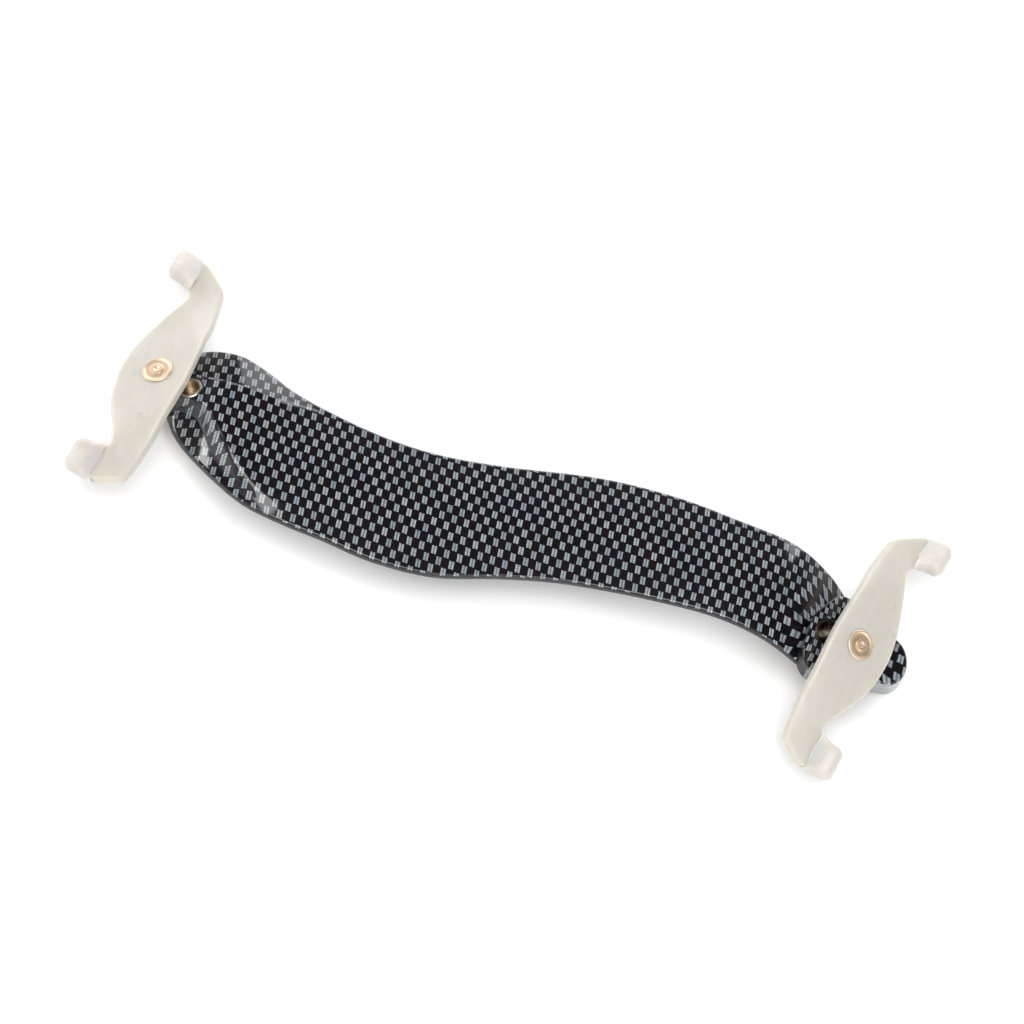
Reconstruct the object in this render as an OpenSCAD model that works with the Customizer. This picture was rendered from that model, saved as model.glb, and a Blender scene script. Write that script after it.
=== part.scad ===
// Violin shoulder rest: an S-shaped moulded base with a foam pad underneath and two
// forked feet. Each foot is riveted to a screw that turns in a brass insert of the base.
// The base lies along X, the feet point up, and the foam pad is at the bottom.

/* [Base] */
// Thickness of the moulded base plate
plate_t = 2.6; // [2.2:0.1:3.2]
// How far the base plate curves down from its middle line to its rims
crown = 1.3; // [0.8:0.1:2]
// Height of the raised pad at the right end, measured straight down
pad_h = 5.6; // [5:0.1:6.5]

/* [Foam pad] */
// Thickness of the foam pad in the middle of the base
foam_t = 9.5; // [7:0.5:12]
// Distance from the rim of the base to the edge of the foam
foam_inset = 1.8; // [1.2:0.1:3]
// Thickness of the adhesive film between the base and the foam
film_t = 0.4; // [0.3:0.1:0.6]

/* [Feet] */
// Outward lean of both foot screws
splay = 25.6; // [22:0.2:28]
// Forward lean of the right foot screw, and backward lean of the left one
lean = 7.4; // [5:0.2:9]
// Turn of the left fork about its screw
left_yaw = 1.6; // [0:0.2:8]
// Turn of the right fork about its screw
right_yaw = 7.5; // [0:0.5:10]
// Thickness of a fork's plate
fork_t = 3; // [2.8:0.1:3.4]
// Length of a soft claw sleeve, along the claw
sleeve_l = 6.8; // [6.4:0.2:8]
// Width of a claw sleeve
sleeve_w = 8.4; // [7.6:0.2:9]
// Thickness of a claw sleeve
sleeve_h = 5.6; // [5:0.2:6.4]

/* [Screws] */
// Diameter of the screw, taken at the middle of its thread
screw_d = 4.44; // [4.4:0.02:4.46]
// Length of the screw below the top of the base
screw_l = 14.5; // [13:0.5:16]
// Length of a brass insert
insert_l = 6.4; // [5.5:0.1:6.6]
// Outer diameter of a brass insert
insert_d = 6.6; // [6.2:0.1:6.8]
// Distance between the two inserts of one end
insert_gap = 8; // [7.6:0.1:8.4]

/* [Hidden] */
$fn = 48;

// The shape is drawn about the middle of the base's top, then moved so that the origin is
// at the middle of the whole object's footprint.
origin_shift = [-1.574, 0.224, 18.123];

// Outline of the base, seen from above: [x, y] of its rear and front rims
rear_rim = [[-97, 4], [-95.5, 8.5], [-93, 11.4], [-89.4, 13.6], [-85, 15], [-78.4, 14.9],
    [-71, 12.3], [-63, 8.9], [-54, 6.8], [-40, 6], [-24, 7.2], [-6, 11.3], [20, 18.6],
    [40, 21], [60, 20.6], [75, 20.4], [85, 18.6], [91, 15.6], [97, 11.5], [104, 8]];
front_rim = [[-97, 0.5], [-95.5, -1.2], [-93, -3.2], [-91, -5.4], [-87.3, -10.7], [-82, -15.8],
    [-73.6, -21.5], [-64, -26], [-53, -27.7], [-42, -27.6], [-28, -27.6], [-12.5, -25],
    [4, -18.4], [17, -14], [30, -11], [44, -8.8], [58, -7.5], [72, -7.9], [85, -8.8],
    [92, -8.6], [98, -6.4], [104, -2.6]];
// Height of the base's middle line, and of the top of the raised ridge at its left end
plate_line = [[-100, -11.8], [-94, -8.9], [-88, -6], [-84, -4], [-78, -1.3], [-72, 0.5],
    [-64, 1.7], [-52, 2.4], [-30, 0.9], [-10, 0], [10, 0], [30, 0.5], [50, 1.8], [62, 2.5],
    [70, 2.1], [77, 0], [84, -3.5], [92, -7.5], [104, -13.2]];
ridge_line = [[-77, 3.4], [-72, 3.9], [-64, 3.5], [-52, 2.4]];
// Front and rear edges of the ridge's top
ridge_front = [[-95, -4.8], [-89, -4.1], [-86, -4.2], [-82.5, -5.4], [-77, -11.2], [-70, -17.4],
    [-64, -20.8], [-56, -22.6], [-44, -20]];
ridge_rear = [[-95, 3.6], [-86, 3.6], [-78, 3], [-69, 3.2], [-60, 4.2], [-52, 4.4], [-44, 0]];
ridge_end = -44;
nose_r = 4.6;
shell_start = -99.3;
shell_end = 104;
rim_h = 2.1;

// Centre of each outer insert's mouth, mirrored by half a turn about Z
socket = [94.84, 0.62, -4.28];
// Outline of the right pad: [x, y, radius] of the arcs round it, from the outer insert
pad_arcs = [[-7.7, -6, 5.2], [-7, 1.5, 6.2], [-5.2, 6.6, 5], [13, 3.2, 6.3]];

// Heights above the insert's mouth, along the screw
nut_z = 0.1;
nut_t = 1.1;
washer_z = 1.25;
washer_t = 0.45;
flange_z = 1.95;
flange_t = 0.8;
fork_top = 4.8;
fit = 0.05;
bore_d = screw_d + 2 * fit;
neck_d = 3.8;
flange_d = 7;
rivet_d = 7.9;
rivet_t = 0.5;
stud_d = 3.2;
nut_d = 9.4;
knurls = 24;

// Fork: half outlines [distance along the bar, x] of its outer and inner edges
fork_outer = [[0, 10.3], [5, 10], [10, 8.8], [14, 7.1], [18, 4.9], [21.5, 3.2], [25, 2.2],
    [28, 3.1], [36.6, 3.4]];
fork_inner = [[0, -8.2], [8, -7.9], [16, -7], [24, -5.4], [30, -4.2], [32.6, -3.3], [36.6, 1.5]];
twist = [[0, 0], [13, 0], [20, 0.3], [26, 0.52], [31, 0.66], [36.6, 0.7]];
fork_half = 36.6;
twist_x = 0.5;
fork_crown = 0.002;
claw_y = 32.4;
claw_slope = 34;
claw_roll = 17;
claw_start = 2.6;
core = [5.2, 5.4, 2.6];
end_turn = 74;
eps = 0.01;

// ---- curves ----

// Index of the stretch of p that holds x
function stretch(p, x, i = 0) = (i >= len(p) - 2 || x < p[i + 1][0]) ? i : stretch(p, x, i + 1);

// Slope of p at its point i
function knot_slope(p, i) = let (
        a = max(i - 1, 0),
        b = min(i + 1, len(p) - 1)
    ) (p[b][1] - p[a][1]) / (p[b][0] - p[a][0]);

// Height at x of the smooth curve through the points of p
function curve(p, x) = let (
        i = stretch(p, x),
        h = p[i + 1][0] - p[i][0],
        t = min(max((x - p[i][0]) / h, 0), 1),
        m0 = knot_slope(p, i) * h,
        m1 = knot_slope(p, i + 1) * h,
        t2 = t * t,
        t3 = t2 * t
    ) (2 * t3 - 3 * t2 + 1) * p[i][1] + (t3 - 2 * t2 + t) * m0
        + (3 * t2 - 2 * t3) * p[i + 1][1] + (t3 - t2) * m1;

function mix(a, b, t) = a + (b - a) * t;
function ease(x, a, b) = let (t = min(max((x - a) / (b - a), 0), 1)) t * t * (3 - 2 * t);

// ---- base surface ----

// Height change per mm along and across a lug's top
lug_run = tan(splay);
lug_cross = tan(lean) / cos(splay);

// Height of the left lug's flat top
function left_lug_z(x, y) = socket.z + lug_run * (x + socket.x) - lug_cross * (y + socket.y);

// Half width of the ridge's rounded nose at x
function nose(x) = let (d = min(x + socket.x, 0)) sqrt(max(nose_r * nose_r - d * d, 0.3));

function ridge_y0(x) = x < -socket.x ? -socket.y - nose(x) : curve(ridge_front, x);
function ridge_y1(x) = x < -socket.x ? -socket.y + nose(x) : curve(ridge_rear, x);

// Widths of the ridge's front and rear side walls
function wall0(x) = mix(1.3, 4, ease(x, -88, -72));
function wall1(x) = 1.1;

// Rims of the plate; it never ends inside the ridge's walls
function rim0(x) = min(x < -97 ? 9 : curve(front_rim, x), ridge_foot0(x) - 0.25);
function rim1(x) = max(x < -97 ? -9 : curve(rear_rim, x), ridge_foot1(x) + 0.25);
function ridge_foot0(x) = x < ridge_end ? ridge_y0(x) - wall0(x) : 99;
function ridge_foot1(x) = x < ridge_end ? ridge_y1(x) + wall1(x) : -99;

function mid_y(x) = (rim0(x) + rim1(x)) / 2;
function half_w(x) = (rim1(x) - rim0(x)) / 2;
function plate_crown(x) = crown + 1.2 * ease(-x, 50, 78);

// Height of the plate's top at [x, y], without the ridge
function plate_z(x, y) = let (k = (y - mid_y(x)) / half_w(x))
    curve(plate_line, x) - plate_crown(x) * k * k;

// Height of the ridge's top at [x, y]
function ridge_z(x, y) = x < -84 ? left_lug_z(x, y)
    : mix(
        mix(left_lug_z(x, y), curve(ridge_line, x), ease(x, -84, -74)),
        plate_z(x, y),
        ease(x, -76, -50));

// Rounded step from the plate (0) to the ridge's top (1), across a side wall
steps = [[0, 0], [0.3, 0.16], [0.6, 0.55], [0.85, 0.88], [1, 0.97]];

function top_point(x, y, s) = [x, y, mix(plate_z(x, y), ridge_z(x, y), x < -50 ? s : 0)];

// Points across the top of the base at x, from the front rim to the rear rim
function top_row(x) = let (
        r0 = x < ridge_end ? ridge_y0(x) : mid_y(x) - 0.55 * half_w(x),
        r1 = x < ridge_end ? ridge_y1(x) : mid_y(x) + 0.55 * half_w(x),
        w0 = x < ridge_end ? wall0(x) : 1.5,
        w1 = x < ridge_end ? wall1(x) : 1.5,
        a = rim0(x),
        b = rim1(x)
    ) concat(
        [for (i = [0:3]) top_point(x, mix(a + rim_round(x), r0 - w0, i / 4), 0)],
        [for (s = steps) top_point(x, r0 - w0 * (1 - s[0]), s[1])],
        [for (i = [1:5]) top_point(x, mix(r0, r1, i / 6), 1)],
        [for (i = [len(steps) - 1:-1:0]) top_point(x, r1 + w1 * (1 - steps[i][0]), steps[i][1])],
        [for (i = [1:4]) top_point(x, mix(r1 + w1, b - rim_round(x), i / 4), 0)]);

// Width of the rounded edge of the rim
function rim_round(x) = min(0.9, 0.2 + half_w(x) / 40);

// Points down one rounded rim; side is -1 at the front and 1 at the rear
function rim_points(x, side) = let (
        y = side < 0 ? rim0(x) : rim1(x),
        r = rim_round(x),
        z = plate_z(x, y)
    ) [for (a = [30, 60, 90]) [x, y - side * r * (1 - sin(a)), z - r * (1 - cos(a))],
        [x, y, z - rim_h + 0.4],
        [x, y - side * 0.4, z - rim_h]];

// Height of the underside of the base
function under_z(x, y) = plate_z(x, y) - plate_t;

function under_row(x, inset, drop, n) = [for (i = [0:n])
    let (y = mix(rim0(x) + inset, rim1(x) - inset, i / n)) [x, y, under_z(x, y) - drop]];

function reverse(p) = [for (i = [len(p) - 1:-1:0]) p[i]];

function shell_ring(x) = concat(
    reverse(rim_points(x, -1)),
    top_row(x),
    rim_points(x, 1),
    reverse(under_row(x, 1.2, 0, 8)));

// Number of the point in the middle of the top, in each ring of the base
top_middle = 16;

// Stations along the base, closer together at the ends
function shell_stations() = concat(
    [for (i = [0:3]) shell_start + 4 * (1 - cos(i * 25))],
    [for (x = [-95:2:-51]) x],
    [for (x = [-47:4.5:66]) x],
    [for (x = [69:2.5:shell_end]) x]);

// Closed body through a list of rings, each with an even number of points. Its end faces
// are strips between the two halves of the ring, or a fan from the point number apex.
module loft(rings, apex = -1) {
    n = len(rings[0]);
    m = len(rings);
    last = (m - 1) * n;
    sides = [for (j = [0:m - 2], i = [0:n - 1])
        let (k = (i + 1) % n) each [
            [j * n + i, j * n + k, (j + 1) * n + k],
            [j * n + i, (j + 1) * n + k, (j + 1) * n + i]]];
    strips = [for (i = [0:n / 2 - 2]) each [
        [n - 1 - i, n - 2 - i, i + 1, i],
        [last + i, last + i + 1, last + n - 2 - i, last + n - 1 - i]]];
    fans = [
        [for (i = [0:n - 1]) (apex + n - i) % n],
        [for (i = [0:n - 1]) last + (apex + i) % n]];
    polyhedron(
        points = [for (r = rings) each r],
        faces = concat(apex < 0 ? strips : fans, sides),
        convexity = 6);
}

// ---- placing ----

module in_place() translate(origin_shift) children();

// Frame of one end's screw: z up the screw, x outwards; side is 1 at the right, -1 at the left
module at_socket(side) in_place()
    rotate([0, 0, side > 0 ? 0 : 180])
    translate(socket)
    rotate([lean, splay, 0])
    children();

module at_inner_socket(side) at_socket(side) translate([-insert_gap, 0, 0]) children();

// Frame of one fork: z = 0 on the top of its plate
module at_fork(side) at_socket(side)
    rotate([0, 0, side > 0 ? -right_yaw : -left_yaw])
    translate([0, 0, fork_top])
    children();

// ---- right pad ----

// Point of the pad's outline whose outward direction is a, moved in by d
function pad_reach(c, a) = c.x * cos(a) + c.y * sin(a) + c.z;
function pad_best(a, i = 0, best = 0) = i >= len(pad_arcs) ? best
    : pad_best(a, i + 1, pad_reach(pad_arcs[i], a) > pad_reach(pad_arcs[best], a) ? i : best);
function pad_edge(a, d) = let (c = pad_arcs[pad_best(a)])
    [c.x + (c.z - d) * cos(a), c.y + (c.z - d) * sin(a)];

// The pad's flat top, turned into the base's frame
function tilted(p) = let (
        y = p.y * cos(lean) - p.z * sin(lean),
        z = p.y * sin(lean) + p.z * cos(lean)
    ) [p.x * cos(splay) + z * sin(splay), y, z * cos(splay) - p.x * sin(splay)];

// [inset, depth] of each ring, from the rounded top edge to the flared foot
pad_rings = [[0.9, 0], [0.4, 0.2], [0.1, 0.6], [0, 1.3], [-0.4, pad_h]];

module right_pad() in_place() translate(socket)
    loft([for (r = pad_rings) [for (a = [0:7.5:352.5])
        let (e = pad_edge(a, r[0])) tilted([e.x, e.y, 0]) - [0, 0, r[1]]]]);

// ---- nodes ----

module insert_hole() rotate([0, 0, 20]) {
    translate([0, 0, -insert_l]) cylinder(d = insert_d, h = insert_l + 3);
    translate([0, 0, -insert_l - 6]) cylinder(d = bore_d + 1, h = insert_l);
}

module base_shell() color("#24262b") difference() {
    union() {
        in_place() loft([for (x = shell_stations()) shell_ring(x)], top_middle);
        right_pad();
    }
    for (side = [-1, 1]) {
        at_socket(side) insert_hole();
        at_inner_socket(side) insert_hole();
    }
}

// Ends of the film and of the foam along the base
film_x = [-83.5, 79];
foam_x = [-83, 78.5];

function layer_ring(x, inset, top, bottom) = concat(
    under_row(x, inset, top, 8), reverse(under_row(x, inset, bottom, 8)));

module pad_adhesive() color("#cfc9b8") in_place()
    loft([for (i = [0:40]) let (x = mix(film_x[0], film_x[1], i / 40))
        layer_ring(x, foam_inset, fit, fit + film_t)]);

// Thickness of the foam along the base; it thins out at both ends
function foam_depth(x) = foam_t * (0.45 + 0.55 * ease(x, -83, -60) * ease(-x, -78.5, -56));

// Ring of the foam: its sides lean in and its underside is rounded
function foam_ring(x) = let (
        top = 2 * fit + film_t,
        d = foam_depth(x)
    ) concat(
        under_row(x, foam_inset, top, 8),
        [for (i = [10:-1:0]) let (
                k = i / 5 - 1,
                e = pow(abs(k), 3),
                y = mid_y(x) + k * (half_w(x) - foam_inset - 0.42 * d * (1 - 0.15 * e))
            ) [x, y, under_z(x, mid_y(x)) - top - d * (1 - 0.28 * e)]]);

module foam_pad() color("#1b1b1d") in_place()
    loft([for (i = [0:44]) foam_ring(mix(foam_x[0], foam_x[1], i / 44))]);

module insert() difference() {
    translate([0, 0, -insert_l]) cylinder(d = insert_d, h = insert_l);
    translate([0, 0, -insert_l - 1]) cylinder(d = bore_d, h = insert_l + 2);
}

module left_outer_insert() color("#c9a14a") at_socket(-1) insert();
module left_inner_insert() color("#c9a14a") at_inner_socket(-1) insert();
module right_outer_insert() color("#c9a14a") at_socket(1) insert();
module right_inner_insert() color("#c9a14a") at_inner_socket(1) insert();

// Screw with its flange under the fork and its riveted neck through it
module post() {
    translate([0, 0, 1 - screw_l]) cylinder(d = screw_d, h = screw_l - 1 + flange_z + eps);
    translate([0, 0, -screw_l]) cylinder(d1 = screw_d - 1.4, d2 = screw_d, h = 1);
    translate([0, 0, flange_z]) cylinder(d = flange_d, h = flange_t);
    translate([0, 0, flange_z]) cylinder(d = neck_d, h = fork_top - flange_z + 0.1);
    translate([0, 0, fork_top]) cylinder(d = stud_d, h = rivet_t + 0.35);
}

module left_post() color("#c9a14a") at_socket(-1) post();
module right_post() color("#c9a14a") at_socket(1) post();

module lock_nut() translate([0, 0, nut_z]) difference() {
    cylinder(d = nut_d, h = nut_t);
    translate([0, 0, -1]) cylinder(d = bore_d, h = nut_t + 2);
    for (i = [0:knurls - 1])
        rotate([0, 0, i * 360 / knurls])
            translate([nut_d / 2 + 0.25, 0, -1]) cylinder(d = 0.9, h = nut_t + 2, $fn = 16);
}

module left_lock_nut() color("#d9d4c4") at_socket(-1) lock_nut();
module right_lock_nut() color("#d9d4c4") at_socket(1) lock_nut();

module thrust_washer() translate([0, 0, washer_z]) difference() {
    cylinder(d = flange_d + 1.2, h = washer_t);
    translate([0, 0, -1]) cylinder(d = bore_d + 0.1, h = washer_t + 2);
}

module left_thrust_washer() color("#d8d2c0") at_socket(-1) thrust_washer();
module right_thrust_washer() color("#d8d2c0") at_socket(1) thrust_washer();

// Dished washer under the riveted head
module rivet_washer() translate([0, 0, fork_top]) rotate_extrude() polygon([
    [stud_d / 2 + 0.02, 0.1], [neck_d / 2 + 0.02, 0.1], [neck_d / 2 + 0.02, 0.02],
    [rivet_d / 2 - 0.2, 0.02], [rivet_d / 2, 0.2], [rivet_d / 2 - 0.15, 0.45],
    [rivet_d / 2 - 0.6, 0.5], [rivet_d / 2 - 1.1, 0.3], [stud_d / 2 + 0.02, 0.35]]);

module left_rivet_washer() color("#e0b878") at_socket(-1) rivet_washer();
module right_rivet_washer() color("#e0b878") at_socket(1) rivet_washer();

// Height of the fork's top surface at distance y along the bar and x outwards: a faint
// crown in the middle, and a twist that lifts the claws
function fork_z(x, y) = curve(twist, abs(y)) * (x - twist_x) - fork_crown * (x * x + y * y / 3);

function fork_edge(x, y, z) = [x, y, fork_z(x, y) + z];

// Ring of the fork at y: a plate with bevelled edges
function fork_ring(y) = let (
        a = curve(fork_inner, abs(y)),
        b = curve(fork_outer, abs(y)),
        c = 0.5,
        t = fork_t
    ) concat(
        [fork_edge(a, y, c - t), fork_edge(a, y, -c), fork_edge(a + c, y, 0)],
        [for (i = [1:6]) fork_edge(mix(a + c, b - c, i / 7), y, 0)],
        [fork_edge(b - c, y, 0), fork_edge(b, y, -c), fork_edge(b, y, c - t)],
        [fork_edge(b - c, y, -t)],
        [for (i = [1:6]) fork_edge(mix(b - c, a + c, i / 7), y, -t)],
        [fork_edge(a + c, y, -t)]);

// Frame of one claw: x along the claw, z = 0 on the middle of its core
module at_claw(end) translate([twist_x, end * claw_y, 0])
    rotate([0, -claw_slope, 0])
    translate([claw_start, 0, -fork_t / 2 * cos(claw_slope)])
    rotate([-end * claw_roll, 0, 0])
    children();

module claw_core(grow) translate([-2.4, -core.y / 2 - grow, -core.z / 2 - grow])
    cube([core.x + 2.4 + grow, core.y + 2 * grow, core.z + 2 * grow]);

module fork() difference() {
    union() {
        loft([for (i = [24:-1:-24]) fork_ring(fork_half * sin(i * end_turn / 24) / sin(end_turn))]);
        for (end = [-1, 1]) at_claw(end) claw_core(0);
    }
    translate([0, 0, -fork_t - 1]) cylinder(d = neck_d + 0.04, h = fork_t + 2);
    translate([0, 0, -fork_t - 1]) cylinder(d = flange_d + 0.1, h = 1 + fork_t - (fork_top - flange_z - flange_t));
}

module left_fork() color("#dcd7c8") at_fork(-1) fork();
module right_fork() color("#dcd7c8") at_fork(1) fork();

// Soft sleeve over a claw: a rounded block with a pocket for the claw's core
module sleeve() difference() {
    hull() for (y = [-1, 1], z = [-1, 1]) {
        translate([0.6, y * (sleeve_w / 2 - 1.6), z * (sleeve_h / 2 - 1.4)])
            rotate([0, 90, 0]) cylinder(r = 1.4, h = 1, $fn = 24);
        translate([sleeve_l - 2, y * (sleeve_w / 2 - 1.8), z * (sleeve_h / 2 - 1.8)])
            sphere(r = 1.8, $fn = 24);
    }
    claw_core(fit);
}

module left_front_sleeve() color("#e6e2d6") at_fork(-1) at_claw(1) sleeve();
module left_rear_sleeve() color("#e6e2d6") at_fork(-1) at_claw(-1) sleeve();
module right_front_sleeve() color("#e6e2d6") at_fork(1) at_claw(-1) sleeve();
module right_rear_sleeve() color("#e6e2d6") at_fork(1) at_claw(1) sleeve();

base_shell();
pad_adhesive();
foam_pad();
left_outer_insert();
left_inner_insert();
right_outer_insert();
right_inner_insert();
left_post();
right_post();
left_lock_nut();
right_lock_nut();
left_thrust_washer();
right_thrust_washer();
left_rivet_washer();
right_rivet_washer();
left_fork();
right_fork();
left_front_sleeve();
left_rear_sleeve();
right_front_sleeve();
right_rear_sleeve();
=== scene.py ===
import math

import bmesh
import bpy
import numpy as np
from mathutils import Matrix, Vector


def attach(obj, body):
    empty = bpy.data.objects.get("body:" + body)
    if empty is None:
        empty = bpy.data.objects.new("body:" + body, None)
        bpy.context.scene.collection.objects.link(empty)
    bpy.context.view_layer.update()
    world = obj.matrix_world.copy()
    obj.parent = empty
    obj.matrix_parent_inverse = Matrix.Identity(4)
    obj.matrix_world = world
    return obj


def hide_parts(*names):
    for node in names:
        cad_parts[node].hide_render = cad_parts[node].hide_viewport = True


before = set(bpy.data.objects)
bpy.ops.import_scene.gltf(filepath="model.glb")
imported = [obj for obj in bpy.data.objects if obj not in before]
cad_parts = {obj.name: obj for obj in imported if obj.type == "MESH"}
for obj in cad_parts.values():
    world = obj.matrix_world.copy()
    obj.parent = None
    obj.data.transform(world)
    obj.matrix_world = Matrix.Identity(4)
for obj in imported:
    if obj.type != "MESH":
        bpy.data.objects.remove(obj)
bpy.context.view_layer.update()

MM = 0.001

# ---- sizes in millimetres and degrees, as in the CAD part ----
# In all that follows, side is 1 at the right end and -1 at the left.

# The shape is drawn about the middle of the base's top, then moved by SHIFT
SHIFT = (-1.574, 0.224, 18.123)

# Screws: place of the outer insert's mouth, outward and forward lean, turn of each fork
SOCKET = (94.84, 0.62, -4.28)
SPLAY, LEAN = 25.6, 7.4
YAW = {-1: 1.6, 1: 7.5}
INSERT_L, INSERT_GAP, SCREW_L = 6.4, 8.0, 14.5
INSERT_R, CLEARANCE_R = 3.3, 2.77
# Thread: pitch, then root and crest radii of the screw and of the insert
PITCH = 0.8
SCREW_ROOT, SCREW_CREST = 2.06, 2.45
INSERT_CREST, INSERT_ROOT = 2.11, 2.52
# Heights above the insert's mouth, and radii, of what sits on the screw
NUT_Z, NUT_TOP, NUT_R, TEETH = 0.1, 1.2, 4.7, 30
FLANGE_Z, FLANGE_T, FLANGE_R = 1.95, 0.8, 3.5
NECK_R, STUD_R = 1.9, 1.6
FORK_TOP, FORK_T = 4.8, 3.0

# Base plate: rounded edge, rim walls, pad, and the ridge's side walls
CROWN, PLATE_T, PAD_H = 1.3, 2.6, 5.6
EDGE_R, RIM_H, UNDER_INSET = 0.9, 2.1, 1.2
FRONT_WALL, FRONT_WALL_X, REAR_WALL = (1.3, 4), (-88, -72), 1.1
# Along x, the left lug turns into the ridge, and the ridge into the plate
LUG_X, RIDGE_X = (-84, -74), (-76, -50)
SHELL_START, SHELL_END, RIDGE_END, NOSE_R = -99.3, 104, -44, 4.6
# Foam pad and its film
INSET, FILM_T, FOAM_T, FIT = 1.8, 0.4, 9.5, 0.05
FOAM_X = (-83, 78.5)

# Outline of the plate from above: (x, y) along its rear and front rims
REAR_RIM = [(-97, 4), (-95.5, 8.5), (-93, 11.4), (-89.4, 13.6), (-85, 15), (-78.4, 14.9),
            (-71, 12.3), (-63, 8.9), (-54, 6.8), (-40, 6), (-24, 7.2), (-6, 11.3), (20, 18.6),
            (40, 21), (60, 20.6), (75, 20.4), (85, 18.6), (91, 15.6), (97, 11.5), (104, 8)]
FRONT_RIM = [(-97, 0.5), (-95.5, -1.2), (-93, -3.2), (-91, -5.4), (-87.3, -10.7), (-82, -15.8),
             (-73.6, -21.5), (-64, -26), (-53, -27.7), (-42, -27.6), (-28, -27.6), (-12.5, -25),
             (4, -18.4), (17, -14), (30, -11), (44, -8.8), (58, -7.5), (72, -7.9), (85, -8.8),
             (92, -8.6), (98, -6.4), (104, -2.6)]
# (x, z) of the plate's middle line and of the ridge's top
PLATE_LINE = [(-100, -11.8), (-94, -8.9), (-88, -6), (-84, -4), (-78, -1.3), (-72, 0.5),
              (-64, 1.7), (-52, 2.4), (-30, 0.9), (-10, 0), (10, 0), (30, 0.5), (50, 1.8),
              (62, 2.5), (70, 2.1), (77, 0), (84, -3.5), (92, -7.5), (104, -13.2)]
RIDGE_LINE = [(-77, 3.4), (-72, 3.9), (-64, 3.5), (-52, 2.4)]
# (x, y) of the ridge's front and rear edges
RIDGE_FRONT = [(-95, -4.8), (-89, -4.1), (-86, -4.2), (-82.5, -5.4), (-77, -11.2), (-70, -17.4),
               (-64, -20.8), (-56, -22.6), (-44, -20)]
RIDGE_REAR = [(-95, 3.6), (-86, 3.6), (-78, 3), (-69, 3.2), (-60, 4.2), (-52, 4.4), (-44, 0)]
# Rounded step up a side wall, from the plate (0) to the ridge's top (1)
STEPS = [(0, 0), (0.3, 0.16), (0.6, 0.55), (0.85, 0.88), (1, 0.97)]
# (x, y, radius) of the arcs round the right pad, from the outer insert
PAD_ARCS = [(-7.7, -6, 5.2), (-7, 1.5, 6.2), (-5.2, 6.6, 5), (13, 3.2, 6.3)]
# Fork: (y along the bar, x) of its outer and inner edges, and (y, slope) of its twist
FORK_OUTER = [(0, 10.3), (5, 10), (10, 8.8), (14, 7.1), (18, 4.9), (21.5, 3.2), (25, 2.2),
              (28, 3.1), (36.6, 3.4)]
FORK_INNER = [(0, -8.2), (8, -7.9), (16, -7), (24, -5.4), (30, -4.2), (32.6, -3.3), (36.6, 1.5)]
TWIST = [(0, 0), (13, 0), (20, 0.3), (26, 0.52), (31, 0.66), (36.6, 0.7)]
FORK_HALF, TWIST_X, FORK_CROWN = 36.6, 0.5, 0.002
# Claws: core and soft sleeve, each (length, width, height)
CLAW_Y, CLAW_SLOPE, CLAW_ROLL, CLAW_START = 32.4, 34, 17, 2.6
CORE, SLEEVE = (5.2, 5.4, 2.6), (6.8, 8.4, 5.6)

# One cell of the chequer: its width and length, and how far each side is turned
CELL_W, CELL_L, CELL_TURN, CELL_SHEAR = 1.70, 2.44, math.radians(3.4), math.radians(8)
CELL = Matrix(((CELL_W * math.cos(CELL_TURN), CELL_L * math.sin(CELL_SHEAR)),
               (CELL_W * math.sin(CELL_TURN), -CELL_L * math.cos(CELL_SHEAR)))).inverted()
# The print is drawn out round the right pad: middle, pull, and the radii over which it fades
PAD_MIDDLE, PULL, PULL_FADE = (95.5, 1.0, 0), 3.6, (11, 20)


def curve(p, x):
    """Smooth curve through the points of p."""
    i = 0
    while i < len(p) - 2 and x >= p[i + 1][0]:
        i += 1

    def slope(k):
        a, b = max(k - 1, 0), min(k + 1, len(p) - 1)
        return (p[b][1] - p[a][1]) / (p[b][0] - p[a][0])

    h = p[i + 1][0] - p[i][0]
    t = min(max((x - p[i][0]) / h, 0), 1)
    t2, t3 = t * t, t * t * t
    return ((2 * t3 - 3 * t2 + 1) * p[i][1] + (t3 - 2 * t2 + t) * slope(i) * h
            + (3 * t2 - 2 * t3) * p[i + 1][1] + (t3 - t2) * slope(i + 1) * h)


def mix(a, b, t):
    return a + (b - a) * t


def ease(x, a, b):
    """Smooth step from 0 at a to 1 at b."""
    t = min(max((x - a) / (b - a), 0), 1)
    return t * t * (3 - 2 * t)


# ---- mesh helpers ----

def turn(deg, axis):
    return Matrix.Rotation(math.radians(deg), 4, axis)


def at_socket(side):
    """Frame of one end's screw: z up the screw, x outwards."""
    return (Matrix.Translation(SHIFT) @ turn(0 if side > 0 else 180, "Z")
            @ Matrix.Translation(SOCKET) @ turn(SPLAY, "Y") @ turn(LEAN, "X"))


def at_inner(side):
    return at_socket(side) @ Matrix.Translation((-INSERT_GAP, 0, 0))


def at_fork(side):
    """Frame of one fork: z = 0 on the top of its plate."""
    return at_socket(side) @ turn(-YAW[side], "Z") @ Matrix.Translation((0, 0, FORK_TOP))


def make(name, verts, faces, matrix=Matrix.Translation(SHIFT)):
    """Object from vertices in millimetres, placed by matrix."""
    m = np.array(matrix)
    v = (np.array(verts, float) @ m[:3, :3].T + m[:3, 3]) * MM
    mesh = bpy.data.meshes.new(name)
    mesh.from_pydata([tuple(p) for p in v], [], faces)
    mesh.validate()
    obj = bpy.data.objects.new(name, mesh)
    bpy.context.scene.collection.objects.link(obj)
    return obj


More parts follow.
